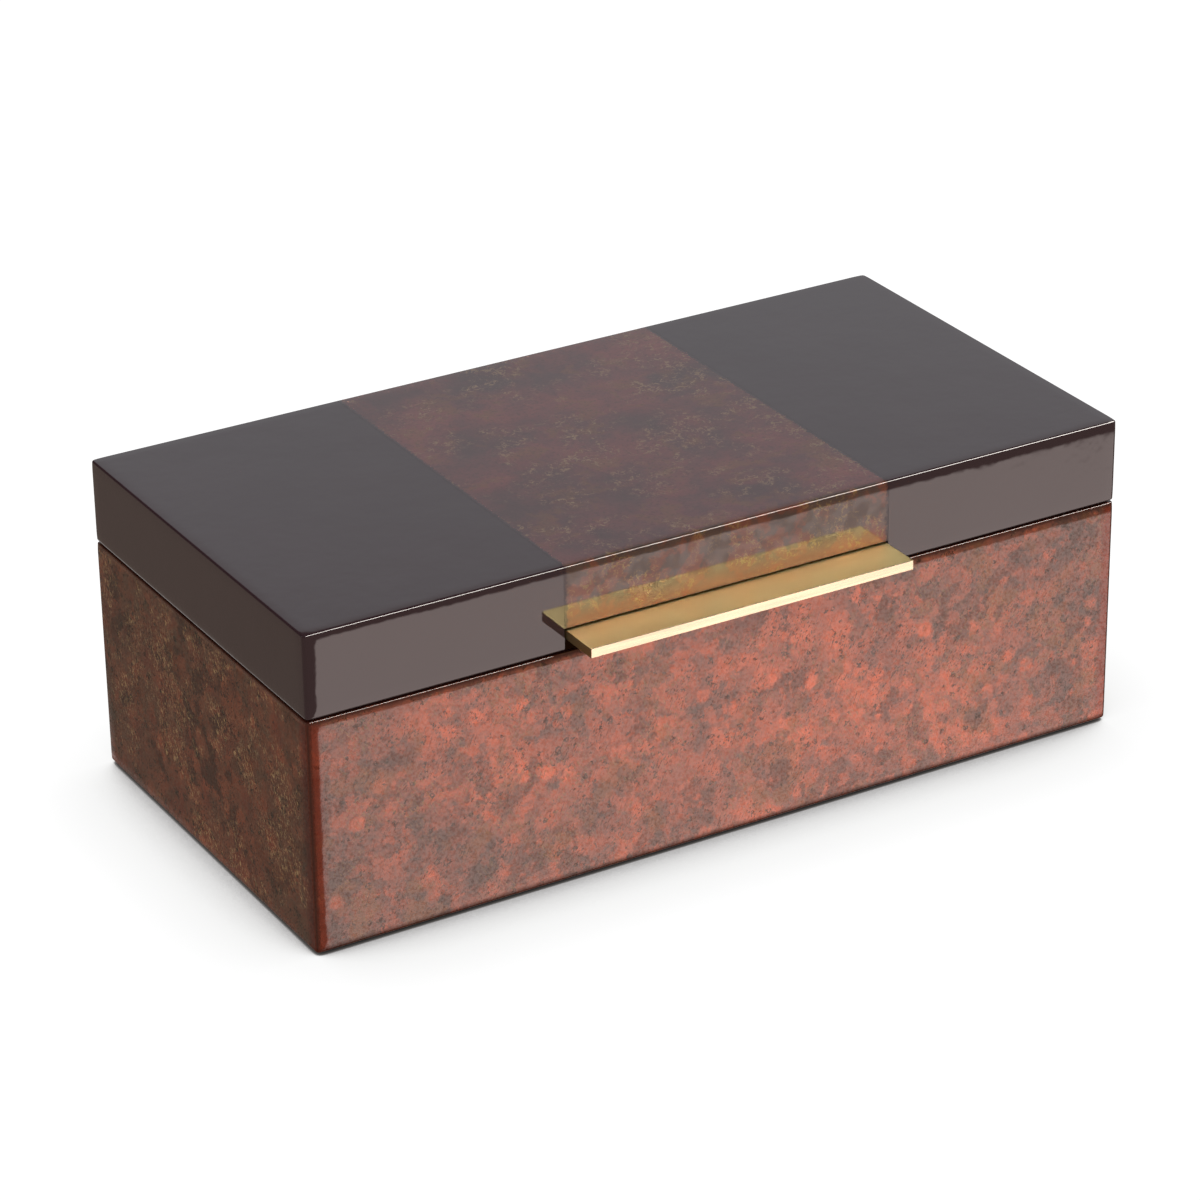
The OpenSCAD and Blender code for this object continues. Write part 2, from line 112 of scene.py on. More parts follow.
def mesh_piece(name, grids, weld=2e-6, crease=32):
    """A mesh object from grids, each a pair of an array (rows, columns, 3) and whether it runs around."""
    points, faces, first = [], [], 0
    for grid, around in grids:
        rows, columns = grid.shape[:2]
        points.append(grid.reshape(-1, 3))
        faces.append(grid_faces(rows, columns, first, around))
        first += rows * columns
    points, faces = np.concatenate(points), np.concatenate(faces)
    mesh = bpy.data.meshes.new(name)
    mesh.from_pydata(points.tolist(), [], faces.tolist())
    work = bmesh.new()
    work.from_mesh(mesh)
    bmesh.ops.remove_doubles(work, verts=work.verts, dist=weld)
    bmesh.ops.dissolve_degenerate(work, edges=work.edges, dist=weld)
    bmesh.ops.recalc_face_normals(work, faces=work.faces)
    open_edges = sum(len(edge.link_faces) != 2 for edge in work.edges)
    work.to_mesh(mesh)
    work.free()
    mesh.shade_smooth()
    mesh.set_sharp_from_angle(angle=math.radians(crease))
    piece = bpy.data.objects.new(name, mesh)
    bpy.context.scene.collection.objects.link(piece)
    print(f"{name}: {len(mesh.polygons)} faces, {open_edges} open edges")
    return piece


def dress(piece, body, finish, replaced=()):
    """Gives a piece its finish and its body, and hides the nodes that it stands for."""
    piece.data.materials.clear()
    piece.data.materials.append(finish)
    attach(piece, body)
    if replaced:
        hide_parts(*replaced)


# %% [markdown]
# ## Materials as written nodes
#
# A finish is a small tree of nodes. Written as calls, it reads like a formula: each call adds a node, joins
# its inputs, and hands back its output for the next call.

# %% Node helper
class Tree:
    """Adds nodes to a node tree. Inputs are numbers, colours or outputs of other nodes."""

    def __init__(self, owner):
        owner.use_nodes = True
        self.nodes, self.links = owner.node_tree.nodes, owner.node_tree.links
        self.nodes.clear()

    def add(self, kind, inputs=None, out=0, **settings):
        made = self.nodes.new("ShaderNode" + kind)
        for key, value in settings.items():
            setattr(made, key, value)
        for key, value in (inputs or {}).items():
            if isinstance(value, bpy.types.NodeSocket):
                self.links.new(value, made.inputs[key])
            elif isinstance(value, tuple) and len(value) == 3 and made.inputs[key].type == "RGBA":
                made.inputs[key].default_value = (*value, 1)
            else:
                made.inputs[key].default_value = value
        return made.outputs[out] if made.outputs else made

    def math(self, operation, *values):
        return self.add("Math", dict(enumerate(values)), operation=operation)

    def fold(self, operation, total, *values):
        """Joins values by an operation, from the first to the last."""
        for value in values:
            total = self.math(operation, total, value)
        return total

    def sum(self, *values):
        return self.fold("ADD", *values)

    def times(self, *values):
        return self.fold("MULTIPLY", *values)

    def most(self, *values):
        return self.fold("MAXIMUM", *values)

    def rest(self, value):
        """What is left of one."""
        return self.math("SUBTRACT", 1.0, value)

    def size(self, value):
        return self.math("ABSOLUTE", value)

    def split(self, vector):
        """The three coordinates of a vector."""
        return self.add("SeparateXYZ", {0: vector}).node.outputs[:3]

    def vector(self, operation, *values, **more):
        return self.add("VectorMath", {**dict(enumerate(values)), **more}, operation=operation)

    def noise_on(self, where, scale, detail=2.0, roughness=0.5, distortion=0.0, out=0, dimensions="3D"):
        return self.add("TexNoise", {"Vector": where, "Scale": scale, "Detail": detail,
                                     "Roughness": roughness, "Distortion": distortion},
                        out=out, noise_dimensions=dimensions)

    def noise(self, *scale_and_detail, **more):
        """A noise on the piece's own coordinates."""
        return self.noise_on(self.where, *scale_and_detail, **more)

    def bend(self, scale, reach):
        """The piece's coordinates pushed about by a noise, so that what is drawn there looks ragged."""
        push = self.vector("SUBTRACT", self.noise(scale, 3, 0.6, out=1), (0.5, 0.5, 0.5))
        return self.vector("ADD", self.where, self.vector("SCALE", push, Scale=reach))

    def fade(self, value, start, end, low=0.0, high=1.0, smooth=True):
        """Goes from low to high while the value goes from start to end."""
        return self.add("MapRange", {"Value": value, "From Min": start, "From Max": end,
                                     "To Min": low, "To Max": high},
                        interpolation_type="SMOOTHSTEP" if smooth else "LINEAR")

    def ramp(self, value, *stops):
        output = self.add("ValToRGB", {0: value})
        band = output.node.color_ramp
        while len(band.elements) < len(stops):
            band.elements.new(0.5)
        for element, (place, colour) in zip(band.elements, stops):
            element.position, element.color = place, (*colour, 1)
        return output

    def mix(self, share, first, second, blend="MIX"):
        """Blends two colours."""
        return self.add("Mix", {0: share, 6: first, 7: second}, out=2, data_type="RGBA", blend_type=blend)

    def bump(self, height, strength, distance):
        """A normal that follows a height, as if the surface rose by that height times the distance."""
        return self.add("Bump", {"Height": height, "Strength": strength, "Distance": distance})


def finish(name, build, **plain):
    """A material. build gets its tree and returns what drives the shader's sockets. plain holds the sockets
    whose value is the same all over."""
    material = bpy.data.materials.new(name)
    tree = Tree(material)
    tree.where = tree.add("TexCoord", out="Object")
    sockets = {key.replace("_", " "): value for key, value in plain.items()}
    sockets.update(build(tree))
    shader = tree.add("BsdfPrincipled", sockets)
    tree.add("OutputMaterial", {"Surface": shader})
    print(f"{name}: {len(tree.nodes)} nodes")
    return material


# %% [markdown]
# ## The camera
#
# It looks down a little at the box's left end. The lens is long, so the long edges run almost parallel. It
# comes first, because everything else is judged through it.

# %% Camera
CAMERA_PLACE = (-0.679596, -1.166061, 0.71601)
CAMERA_AZIMUTH, CAMERA_ELEVATION, CAMERA_ROLL = -30.1073, 26.1693, -0.7879


def camera_turn(azimuth, elevation, roll):
    """Rotation whose third axis points back from the view, and whose first two are turned by the roll."""
    a, e, r = np.radians([azimuth, elevation, roll])
    back = np.array([np.sin(a) * np.cos(e), -np.cos(a) * np.cos(e), np.sin(e)])
    right = np.cross([0, 0, 1], back)
    right /= np.linalg.norm(right)
    up = np.cross(back, right)
    return np.column_stack([np.cos(r) * right + np.sin(r) * up, np.cos(r) * up - np.sin(r) * right, back])


lens = bpy.data.cameras.new("camera")
lens.lens, lens.sensor_width, lens.clip_start = 136.04, 36, 0.05
camera = bpy.data.objects.new("camera", lens)
bpy.context.scene.collection.objects.link(camera)
camera.matrix_world = (Matrix.Translation(CAMERA_PLACE)
                       @ Matrix(camera_turn(CAMERA_AZIMUTH, CAMERA_ELEVATION, CAMERA_ROLL).tolist()).to_4x4())
bpy.context.scene.camera = camera
print("camera", tuple(round(v, 3) for v in camera.location))


# %% [markdown]
# ## The studio
#
# A gloss finish mostly shows the room. So the room is built as a studio, with cards and softboxes, as a
# glow that depends on the direction alone: on its azimuth, counted from the front towards the right, and on
# its height above the horizon. What the lens sees past the floor is plain pale, and matt things get an even
# light.

# %% Sky and cards
world = bpy.data.worlds.new("studio")
sky = Tree(world)
direction = sky.add("TexCoord", out="Generated")
to_right, to_back, upward = sky.split(direction)
azimuth = sky.math("DEGREES", sky.math("ARCTAN2", to_right, sky.times(to_back, -1.0)))
height = sky.math("DEGREES", sky.math("ARCSINE", upward))


def card(low_az, high_az, low_el, high_el, soft, turn=azimuth, soft_el=None):
    """Share of a card in each direction: 1 inside its four edges, easing to 0 over soft degrees."""
    tall = soft if soft_el is None else soft_el
    return sky.times(sky.fade(turn, low_az - soft, low_az + soft),
                     sky.fade(turn, high_az - soft, high_az + soft, 1, 0),
                     sky.fade(height, low_el - tall, low_el + tall),
                     sky.fade(height, high_el - tall, high_el + tall, 1, 0))


either_side = sky.size(azimuth)
ROOM = sky.ramp(sky.fade(height, -60, 60, smooth=False),
                (0.0, (0.27, 0.23, 0.18)), (0.46, (0.27, 0.23, 0.18)),
                (0.52, (0.06, 0.05, 0.05)), (1.0, (0.04, 0.04, 0.045)))
BACK_WALL = sky.ramp(sky.fade(height, 0, 30, smooth=False),
                     (0.0, (0.4, 0.39, 0.4)), (0.75, (0.67, 0.71, 0.74)),
                     (0.85, (0.62, 0.65, 0.68)), (1.0, (0.49, 0.5, 0.51)))
FLAG = (0.03, 0.03, 0.03)
# In order: the wall behind, a dark flag behind on the left in two parts, the ceiling, a low card that the
# front mirrors, the softbox overhead, and low strips on the right and behind on the left.
CARDS = [
    (card(95, 190, 2, 31, 6, turn=either_side, soft_el=1.5), BACK_WALL),
    (card(-190, -125, -8, 60, 6, soft_el=3), FLAG),
    (card(172, 190, -8, 60, 5, soft_el=3), FLAG),
    (card(-190, 190, 74, 95, 4), (0.5, 0.5, 0.5)),
    (card(23.5, 54, -40, -23.6, 0.5, soft_el=0.7), (2.8, 2.4, 2.25)),
    (card(10, 95, 37, 54, 1.5), (32, 30.3, 28)),
    (card(100, 140, -60, -5, 8), (1.5, 1.45, 1.4)),
    (card(-180, -160, -40, -28, 4, soft_el=1.5), (1.0, 0.95, 0.9)),
]
glow = ROOM
for share, colour in CARDS:
    glow = sky.mix(share, glow, colour)
ray = sky.add("LightPath").node.outputs
even = sky.mix(ray["Is Camera Ray"], (0.9, 0.9, 0.92), (1.3, 1.3, 1.3))
light = sky.mix(ray["Is Glossy Ray"], even, glow)
sky.add("OutputWorld", {"Surface": sky.add("Background", {"Color": light, "Strength": 1.0})})
bpy.context.scene.world = world
bpy.context.scene.view_settings.view_transform = "Standard"
print("cards", len(CARDS))


# %% [markdown]
# ## Floor and softbox
#
# A lit floor beside glossy red walls turns pink. So the floor glows by itself, and its shade comes from how
# much open sky each place sees: dark where the box stands, pale a hand's breadth away. One large softbox
# lights the matt things, such as the velvet. Neither is mirrored.

# %% Floor and softbox
SHADE_REACH = 60 * mm
SHADES = [(0.1, (0.015, 0.015, 0.015)), (0.32, (0.08, 0.075, 0.07)), (0.48, (0.25, 0.24, 0.24)),
          (0.51, (0.56, 0.55, 0.55)), (0.57, (0.76, 0.755, 0.75)), (0.66, (0.91, 0.91, 0.905)),
          (0.85, (1.0, 1.0, 1.0)), (1.0, (1.08, 1.08, 1.08))]  # share of open sky, and its grey

floor_mesh = bpy.data.meshes.new("floor")
floor_mesh.from_pydata([(-3, -3, 0), (3, -3, 0), (3, 3, 0), (-3, 3, 0)], [], [(0, 1, 2, 3)])
floor = bpy.data.objects.new("floor", floor_mesh)
floor.visible_glossy = False
bpy.context.scene.collection.objects.link(floor)
paper = bpy.data.materials.new("paper_floor")
tree = Tree(paper)
open_sky = tree.add("AmbientOcclusion", {"Distance": SHADE_REACH}, out=1, samples=32)
shade = tree.ramp(open_sky, *SHADES)
tree.add("OutputMaterial", {"Surface": tree.add("Emission", {"Color": shade})})
floor_mesh.materials.append(paper)

lamp = bpy.data.lights.new("softbox", "AREA")
lamp.shape, lamp.size, lamp.size_y, lamp.energy = "RECTANGLE", 1.6, 1.2, 16
softbox = bpy.data.objects.new("softbox", lamp)
softbox.location = (0.9, -0.9, 1.9)
softbox.rotation_euler = softbox.location.to_track_quat("Z", "Y").to_euler()
softbox.visible_glossy = False
bpy.context.scene.collection.objects.link(softbox)
print("softbox", lamp.size, "x", lamp.size_y, "m at", tuple(round(v, 2) for v in softbox.location))


# %% [markdown]
# ## The mottled lacquer of the case
#
# Such a surface is built up: a leaf of metal is laid on a coloured ground, rubbed through in places, and
# covered with tinted lacquer that is polished until it mirrors. So the finish is a metal with a clear coat.
# Its marks are drawn on coordinates bent by a noise: short slanted dashes, scattered points, and broken
# little rings.

# %% Tools for drawn marks
def slanted_specks(tree, across, up, angle, length, width, limit):
    """Short dashes in the plane of two coordinates, turned by an angle: 1 on a dash and 0 beside it."""
    c, s = math.cos(math.radians(angle)), math.sin(math.radians(angle))
    along = tree.sum(tree.times(across, c), tree.times(up, s))
    aside = tree.math("SUBTRACT", tree.times(up, c), tree.times(across, s))
    scaled = [tree.math("DIVIDE", along, length), tree.math("DIVIDE", aside, width)]
    flat = tree.add("CombineXYZ", dict(enumerate(scaled)))
    return tree.fade(tree.noise_on(flat, 1.0, detail=1.0, dimensions="2D"), limit, limit + 0.06)


def cells(tree, where, scale):
    """Distance to the nearest of scattered points, in spacings, and a random number for that point."""
    distance = tree.add("TexVoronoi", {"Vector": where, "Scale": scale})
    return distance, tree.add("SeparateColor", {0: distance.node.outputs["Color"]})


def outlines(tree, scale, radius, rarity):
    """Broken, ragged little rings round scattered points. Radius is in spacings."""
    distance, number = cells(tree, tree.bend(scale * 3.2, 0.9 / scale), scale)
    from_ring = tree.size(tree.math("SUBTRACT", distance, radius))
    here = tree.sum(number, tree.times(tree.noise(80, 2, 0.6), 1.4))
    drawn = tree.times(tree.fade(from_ring, 0.15 * mm * scale, 0.4 * mm * scale, 1, 0),
                       tree.fade(here, rarity, rarity + 0.14))
    return tree.times(drawn, tree.fade(tree.noise(scale * 1.4, 1), 0.42, 0.56))


# %% [markdown]
# The leaf has a tone, from nearly black to orange red, in which slow clouds, ragged islands, blotches and
# round spots add up. Tinges and a dark smoke lie over it, then pits, pecks and scratches. Where the leaf is
# worn through, in strokes and grains that gather in groups, the ochre ground shows. Such a speck is darker
# than leaf that mirrors a bright card, and lighter than leaf that mirrors a dark room. The edges are darker
# with painted shade: a darker red margin beside the front's upright edges, and near black at the foot, just
# under the rim and at the upright corners.
#
# The front is redder and livelier than the other sides, which are browner with more ochre. A mask of how
# far in front a place lies blends the two round the corners.

# %% Mottled lacquer
REDS = [(0.0, (0.07, 0.038, 0.031)), (0.2, (0.115, 0.05, 0.038)), (0.4, (0.19, 0.064, 0.043)),
        (0.6, (0.28, 0.077, 0.045)), (0.8, (0.365, 0.089, 0.047)), (1.0, (0.46, 0.105, 0.052))]
MEAN_TONE = 0.46
SIDE_BROWN = (0.027, 0.054, 0.038)
WARM_TINGE, BROWN_TINGE, SMOKE = (0.225, 0.07, 0.046), (0.16, 0.062, 0.027), (0.068, 0.028, 0.02)
PIT, PECK, SCRATCH = (0.03, 0.016, 0.01), (0.045, 0.02, 0.012), (0.04, 0.022, 0.015)
SIDE_OCHRE, FRONT_OCHRE = (0.3, 0.195, 0.08), (0.19, 0.112, 0.042)
# Painted shade: a darker red for the front's margins, and a near black for the edges.
MARGIN_SHADE_RED, EDGE_SHADE_DARK = (0.16, 0.022, 0.009), (0.04, 0.01, 0.006)


def mottle_tone(tree, bent, blotch, x, in_front):
    """Place on the row of reds: noises of falling size, and spots, are added up. The front is brighter in its
    middle, and the other sides are drawn in towards the mean tone."""
    island = tree.fade(tree.noise_on(bent, 58, 4, 0.55), 0.42, 0.56)
    patchy = tree.fade(tree.noise_on(tree.bend(260, 5 * mm), 135, 4, 0.6), 0.47, 0.53)
    distance, number = cells(tree, tree.bend(500, 2.4 * mm), 120)
    spot = tree.times(tree.fade(distance, 0.24, 0.4, 1, 0), tree.fade(number, 0.72, 0.8))
    middle = tree.fade(tree.size(x), 20 * mm, 100 * mm, 0.07, -0.08)
    tone = tree.sum(tree.fade(tree.noise(16, 2, 0.5), 0.36, 0.64, 0.01, 0.31, smooth=False),
                    tree.times(island, 0.26), tree.times(patchy, 0.24),
                    tree.fade(blotch, 0.34, 0.66, -0.16, 0.22, smooth=False),
                    tree.fade(tree.noise(800, 3, 0.62), 0.32, 0.68, -0.02, 0.02, smooth=False),
                    tree.times(spot, 0.36), tree.times(middle, in_front))
    contrast = tree.fade(in_front, 0, 1, 0.55, 1)
    return tree.math("MULTIPLY_ADD", tree.math("SUBTRACT", tone, MEAN_TONE), contrast, MEAN_TONE)


def tinged(tree, bent, leaf):
    """The leaf's colour under a warm tinge, a brown tinge and smoke, each within outlines of its own."""
    tinge = tree.noise_on(tree.bend(160, 6 * mm), 75, 4, 0.6)
    leaf = tree.mix(tree.fade(tinge, 0.36, 0.48, 0.5, 0), leaf, WARM_TINGE)
    leaf = tree.mix(tree.fade(tinge, 0.54, 0.64, 0, 0.6), leaf, BROWN_TINGE)
    smoke = tree.fade(tree.noise_on(tree.bend(240, 5 * mm), 115, 3, 0.55), 0.5, 0.6)
    smoke = tree.times(smoke, tree.fade(tree.noise_on(bent, 36, 3, 0.6), 0.45, 0.57, 0.1, 0.95))
    return tree.mix(tree.times(smoke, 0.8), leaf, SMOKE)


def marked(tree, around, up, leaf):
    """The leaf's colour with its dark marks: pits in two sizes, short pecks and long scratches."""
    pits = tree.most(outlines(tree, 300, 0.2, 1.16), outlines(tree, 175, 0.22, 1.32))
    leaf = tree.mix(tree.times(pits, 0.85), leaf, PIT)
    pecks = slanted_specks(tree, around, up, 57, 1.3 * mm, 0.6 * mm, 0.62)
    pecks = tree.times(pecks, tree.fade(tree.noise(95, 2, 0.6), 0.46, 0.58, 0.05, 0.85))
    leaf = tree.mix(pecks, leaf, PECK)
    scratches = slanted_specks(tree, around, up, 70, 9 * mm, 0.35 * mm, 0.7)
    return tree.mix(tree.times(scratches, 0.6), leaf, SCRATCH)


def worn_through(tree, around, up, in_front):
    """Share of the ground that shows: strokes and grains, where a slow noise gathers them."""
    strokes = slanted_specks(tree, around, up, 122, 2.6 * mm, 0.6 * mm, 0.62)
    grain = tree.fade(tree.noise(1300, 2, 0.6), 0.55, 0.66)
    gather = tree.fade(tree.noise_on(tree.bend(60, 12 * mm), 62, 3, 0.6), 0.44, 0.62, 0.12, 0.85)
    gather = tree.times(gather, tree.fade(in_front, 0, 1, 0.85, 0.5))
    return tree.times(tree.most(strokes, tree.times(grain, 0.6)), gather)


def mottled(tree):
    """Leaf by tone, tinges, marks, ground and painted shade at the edges. It is less of a metal where it is
    worn.
    """
    x, y, z = tree.split(tree.where)
    in_front = tree.fade(y, -half[1], 9 * mm - half[1], 1, 0)
    around = tree.math("SUBTRACT", x, y)
    bent = tree.bend(70, 14 * mm)
    blotch = tree.noise_on(bent, 210, 4, 0.6)
    leaf = tree.ramp(mottle_tone(tree, bent, blotch, x, in_front), *REDS)
    leaf = tree.mix(tree.fade(in_front, 0, 1, 1, 0), leaf, SIDE_BROWN, "ADD")
    leaf = marked(tree, around, z, tinged(tree, bent, leaf))
    worn = worn_through(tree, around, z, in_front)
    leaf = tree.mix(worn, leaf, tree.mix(in_front, SIDE_OCHRE, FRONT_OCHRE))
    from_corner = tree.most(tree.math("SUBTRACT", float(half[0]), tree.size(x)),
                            tree.math("SUBTRACT", float(half[1]), tree.size(y)))
    # Painted shade: a darker red margin within 6 mm of the front's upright edges, where the face mirrors
    # less.
    margin_shade = tree.times(in_front, tree.fade(from_corner, 2.5 * mm, 6 * mm, 0.7, 0))
    leaf = tree.mix(margin_shade, leaf, MARGIN_SHADE_RED)
    # Painted shade: near black at the foot, just under the rim and at the upright corners. The foot also
    # loses its coat.
    foot = tree.fade(z, case_low[2] + 0.7 * mm, case_low[2] + 2.8 * mm, 0.75, 0)
    edge_shade = tree.most(foot, tree.fade(from_corner, 0.5 * mm, 1.5 * mm, 1, 0),
                      tree.fade(z, case_high[2] - 2.0 * mm, case_high[2] - 0.5 * mm, 0, 0.9))
    dull = tree.most(worn, tree.times(edge_shade, 0.9))
    polish = tree.fade(tree.noise(1200, 2, 0.7), 0.38, 0.54, 0.5, 1.0, smooth=False)
    return {"Base Color": tree.mix(edge_shade, leaf, EDGE_SHADE_DARK),
            "Metallic": tree.times(tree.rest(dull), 0.92),
            "Roughness": tree.fade(blotch, 0.3, 0.7, 0.29, 0.35),
            "Coat Weight": tree.times(polish, tree.rest(foot)),
            **gloss_skin(tree)}


def gloss_skin(tree):
    """The faint orange peel and waviness of a polished lacquer, for the coat and for what lies under it."""
    peel = tree.sum(tree.times(tree.noise(240, 1.0), 0.25), tree.noise(40, 1.0))
    ripple = tree.bump(peel, 0.35, 0.22 * mm)
    return {"Normal": ripple, "Coat Normal": ripple}


mottled_lacquer = finish("mottled_lacquer", mottled, Coat_Roughness=0.03, Coat_IOR=1.5,
                         Specular_IOR_Level=0.0, Specular_Tint=(0.3, 0.16, 0.12))


# %% [markdown]
# ## The dark lacquer of the lid
#
# This one is a plain pigment under the same polish, nearly black with a little aubergine. What shows is
# mostly what it mirrors, so the base only has a trace of cloudiness.

# %% Dark lacquer
def dark(tree):
    """A base that wavers slightly between two near blacks, and a skin that is hardly rough."""
    cloud = tree.noise(35, 4, 0.6)
    return {"Base Color": tree.mix(cloud, (0.024, 0.0115, 0.0132), (0.029, 0.0142, 0.0162)),
            "Roughness": tree.fade(tree.noise(500, 2), 0.4, 0.6, 0.025, 0.035),
            "Normal": gloss_skin(tree)["Normal"]}


dark_lacquer = finish("dark_lacquer", dark, IOR=1.5, Specular_IOR_Level=0.5)


# %% [markdown]
# ## The band let into the lid
#
# The veneer belongs to the same family as the case, but is duller: maroon and grey-blue clouds, with thin
# gold squiggles and a few flecks. A squiggle is the thin line where a slow noise crosses one level. The
# band's long edges are dark, where the lid's lacquer ran into the joint.
#
# The strip on the front is browner. Just above the bar it turns redder and duller, and a thin dark line
# stands for the shade where it meets the brass.

# %% Band lacquer
MAROONS = [(0.0, (0.062, 0.027, 0.027)), (0.3, (0.082, 0.03, 0.03)), (0.6, (0.108, 0.034, 0.033)),
           (1.0, (0.145, 0.042, 0.038))]
RUST, FINE_DARK = (0.105, 0.048, 0.02), (0.045, 0.02, 0.018)
JOINT_DARK, SEAT_DARK = (0.0265, 0.013, 0.0148), (0.008, 0.003, 0.001)
FRONT_BROWN, FRONT_BLOOM, RED_ABOVE_BAR = (0.048, 0.031, 0.024), (0.108, 0.034, 0.02), (0.2, 0.042, 0.018)
TOP_GILT, FRONT_GILT = (0.19, 0.118, 0.065), (0.18, 0.11, 0.035)


def gilding(tree, x):
    """Share of gold: squiggles where a noise is close to one level, and flecks, both gathered in patches that
    are denser towards the band's right end."""
    level = tree.noise_on(tree.bend(500, 3 * mm), 330, 2, 0.5)
    crossing = tree.size(tree.math("SUBTRACT", level, 0.52))
    line = tree.times(tree.fade(crossing, 0.01, 0.04, 1, 0), tree.fade(tree.noise(210, 2), 0.46, 0.56))
    fleck = tree.times(tree.fade(tree.noise(1000, 2, 0.6), 0.58, 0.68), 0.6)
    toward_end = tree.fade(x, 15 * mm, 55 * mm, 0.0, 0.1)
    patches = tree.fade(tree.sum(tree.noise(52, 3, 0.55), toward_end), 0.46, 0.62, 0.06, 0.75)
    return tree.times(tree.most(line, fleck), patches)


def band(tree):
    """Maroon clouds by a slow noise, with rust and fine dark, another leaf in front, gold and dark edges."""
    x, y, z = tree.split(tree.where)
    in_front = tree.fade(y, mm - half[1], 3 * mm - half[1], 1, 0)
    bent = tree.bend(70, 14 * mm)
    cloud = tree.noise_on(bent, 42, 5, 0.58)
    leaf = tree.ramp(tree.fade(cloud, 0.32, 0.68, smooth=False), *MAROONS)
    rust = tree.fade(tree.noise_on(bent, 85, 4, 0.6), 0.52, 0.66)
    leaf = tree.mix(tree.times(rust, 0.5), leaf, RUST)
    fine = tree.noise(800, 3, 0.62)
    leaf = tree.mix(tree.fade(fine, 0.32, 0.5, 0.4, 0), leaf, FINE_DARK)
    bloom = tree.fade(tree.noise_on(tree.bend(200, 6 * mm), 105, 3, 0.6), 0.46, 0.58)
    leaf = tree.mix(tree.times(in_front, 0.85), leaf, tree.mix(bloom, FRONT_BROWN, FRONT_BLOOM))
    by_bar = tree.times(in_front, tree.fade(z, pull_high[2] + mm, pull_high[2] + 9 * mm, 1, 0))
    leaf = tree.mix(tree.times(by_bar, 0.45), leaf, RED_ABOVE_BAR)
    gold = gilding(tree, x)
    leaf = tree.mix(gold, leaf, tree.mix(in_front, TOP_GILT, FRONT_GILT))
    from_middle = tree.sum(tree.size(x), tree.fade(fine, 0.3, 0.7, -0.6 * mm, 0.6 * mm, smooth=False))
    joint = tree.fade(from_middle, band_half - 1.6 * mm, band_half - 0.4 * mm)
    seat = tree.times(in_front, tree.fade(z, pull_high[2] + 0.5 * mm, pull_high[2] + 1.0 * mm, 1, 0))
    leaf = tree.mix(seat, tree.mix(joint, leaf, JOINT_DARK), SEAT_DARK)
    dull = tree.most(tree.times(gold, 0.5), tree.most(joint, seat))
    scuffs = tree.noise_on(tree.bend(300, 4 * mm), 160, 3, 0.65)
    worn = tree.most(tree.times(by_bar, 0.46), tree.fade(scuffs, 0.44, 0.56, 0.32, 0))
    return {"Base Color": leaf,
            "Metallic": tree.times(tree.rest(dull), tree.fade(in_front, 0, 1, 0.35, 0.12)),
            "Coat Weight": tree.rest(tree.most(seat, tree.times(worn, in_front))),
            "Roughness": tree.fade(cloud, 0.3, 0.7, 0.36, 0.42),
            **gloss_skin(tree)}


band_lacquer = finish("band_lacquer", band, Coat_Roughness=0.03, Coat_IOR=1.5,
                      Specular_IOR_Level=0.0, Specular_Tint=(0.3, 0.2, 0.18))


# %% [markdown]
# ## Brass
#
# The brass is satin: it was rubbed along the bar, so fine lines run with it and spread what it mirrors
# across them. The bar's front edge is filed finer, so it is glossier. Its paler, redder colour there is a
# painted highlight.

# %% Brass
def brass(tree):
    """Fine lines along X from a stretched noise, a slight tarnish, and a finer finish within 0.2 mm of the
    bar's front, whose paler colour is a painted highlight."""
    lines = tree.noise_on(tree.vector("MULTIPLY", tree.where, (30.0, 2200.0, 2200.0)), 1.0, 3, 0.6)
    tarnish = tree.noise(130, 4, 0.6)
    _, y, _ = tree.split(tree.where)
    edge = tree.fade(y, pull_low[1] + 0.05 * mm, pull_low[1] + 0.2 * mm, 1, 0)
    metal = tree.mix(tarnish, (0.95, 0.8, 0.4), (0.88, 0.74, 0.35))
    rough = tree.fade(lines, 0.3, 0.7, 0.37, 0.43)
    # The front edge's paler colour is a painted highlight.
    return {"Base Color": tree.mix(edge, metal, (0.8, 0.64, 0.46)),
            "Roughness": tree.math("SUBTRACT", rough, tree.times(edge, 0.14)),
            "Normal": tree.bump(lines, 0.1, 0.02 * mm)}


satin_brass = finish("satin_brass", brass, Metallic=1.0)


# %% [markdown]
# ## Wood, velvet and felt
#
# The wood is planed. The tongues in the mitres are left bare. The floor panel is near black, as painted
# shade, because a thin line of it shows between the floor's cushion and the lining. Velvet is a dark pile
# that lights up at grazing angles, which is what sheen is for. Felt is matt and fibrous.

# %% Wood, velvet and felt
def wood(tree, pale=(0.52, 0.36, 0.21), dark=(0.33, 0.2, 0.1)):
    """Rings and pores from noises stretched along X. The pores darken the wood and are a little sunk."""
    rings = tree.noise_on(tree.vector("MULTIPLY", tree.where, (12.0, 160.0, 160.0)), 1.0, 5, 0.6, 0.6)
    pores = tree.noise_on(tree.vector("MULTIPLY", tree.where, (90.0, 2400.0, 2400.0)), 1.0, 2, 0.5)
    pored = tree.mix(tree.fade(pores, 0.55, 0.7), (1.0, 1.0, 1.0), (0.45, 0.42, 0.4))
    return {"Base Color": tree.mix(1.0, tree.mix(rings, pale, dark), pored, "MULTIPLY"),
            "Normal": tree.bump(pores, 0.3, 0.1 * mm)}


def gap_shade_browns(tree):
    """The same wood in two near-black browns, painted shade for the gap where the floor panel shows."""
    return wood(tree, (0.03, 0.014, 0.011), (0.018, 0.009, 0.007))


bare_wood = finish("bare_wood", wood, Roughness=0.6)
# The floor panel's near-black wood is painted shade for the thin gap where it shows.
gap_shade_wood = finish("gap_shade_wood", gap_shade_browns, Roughness=0.6)


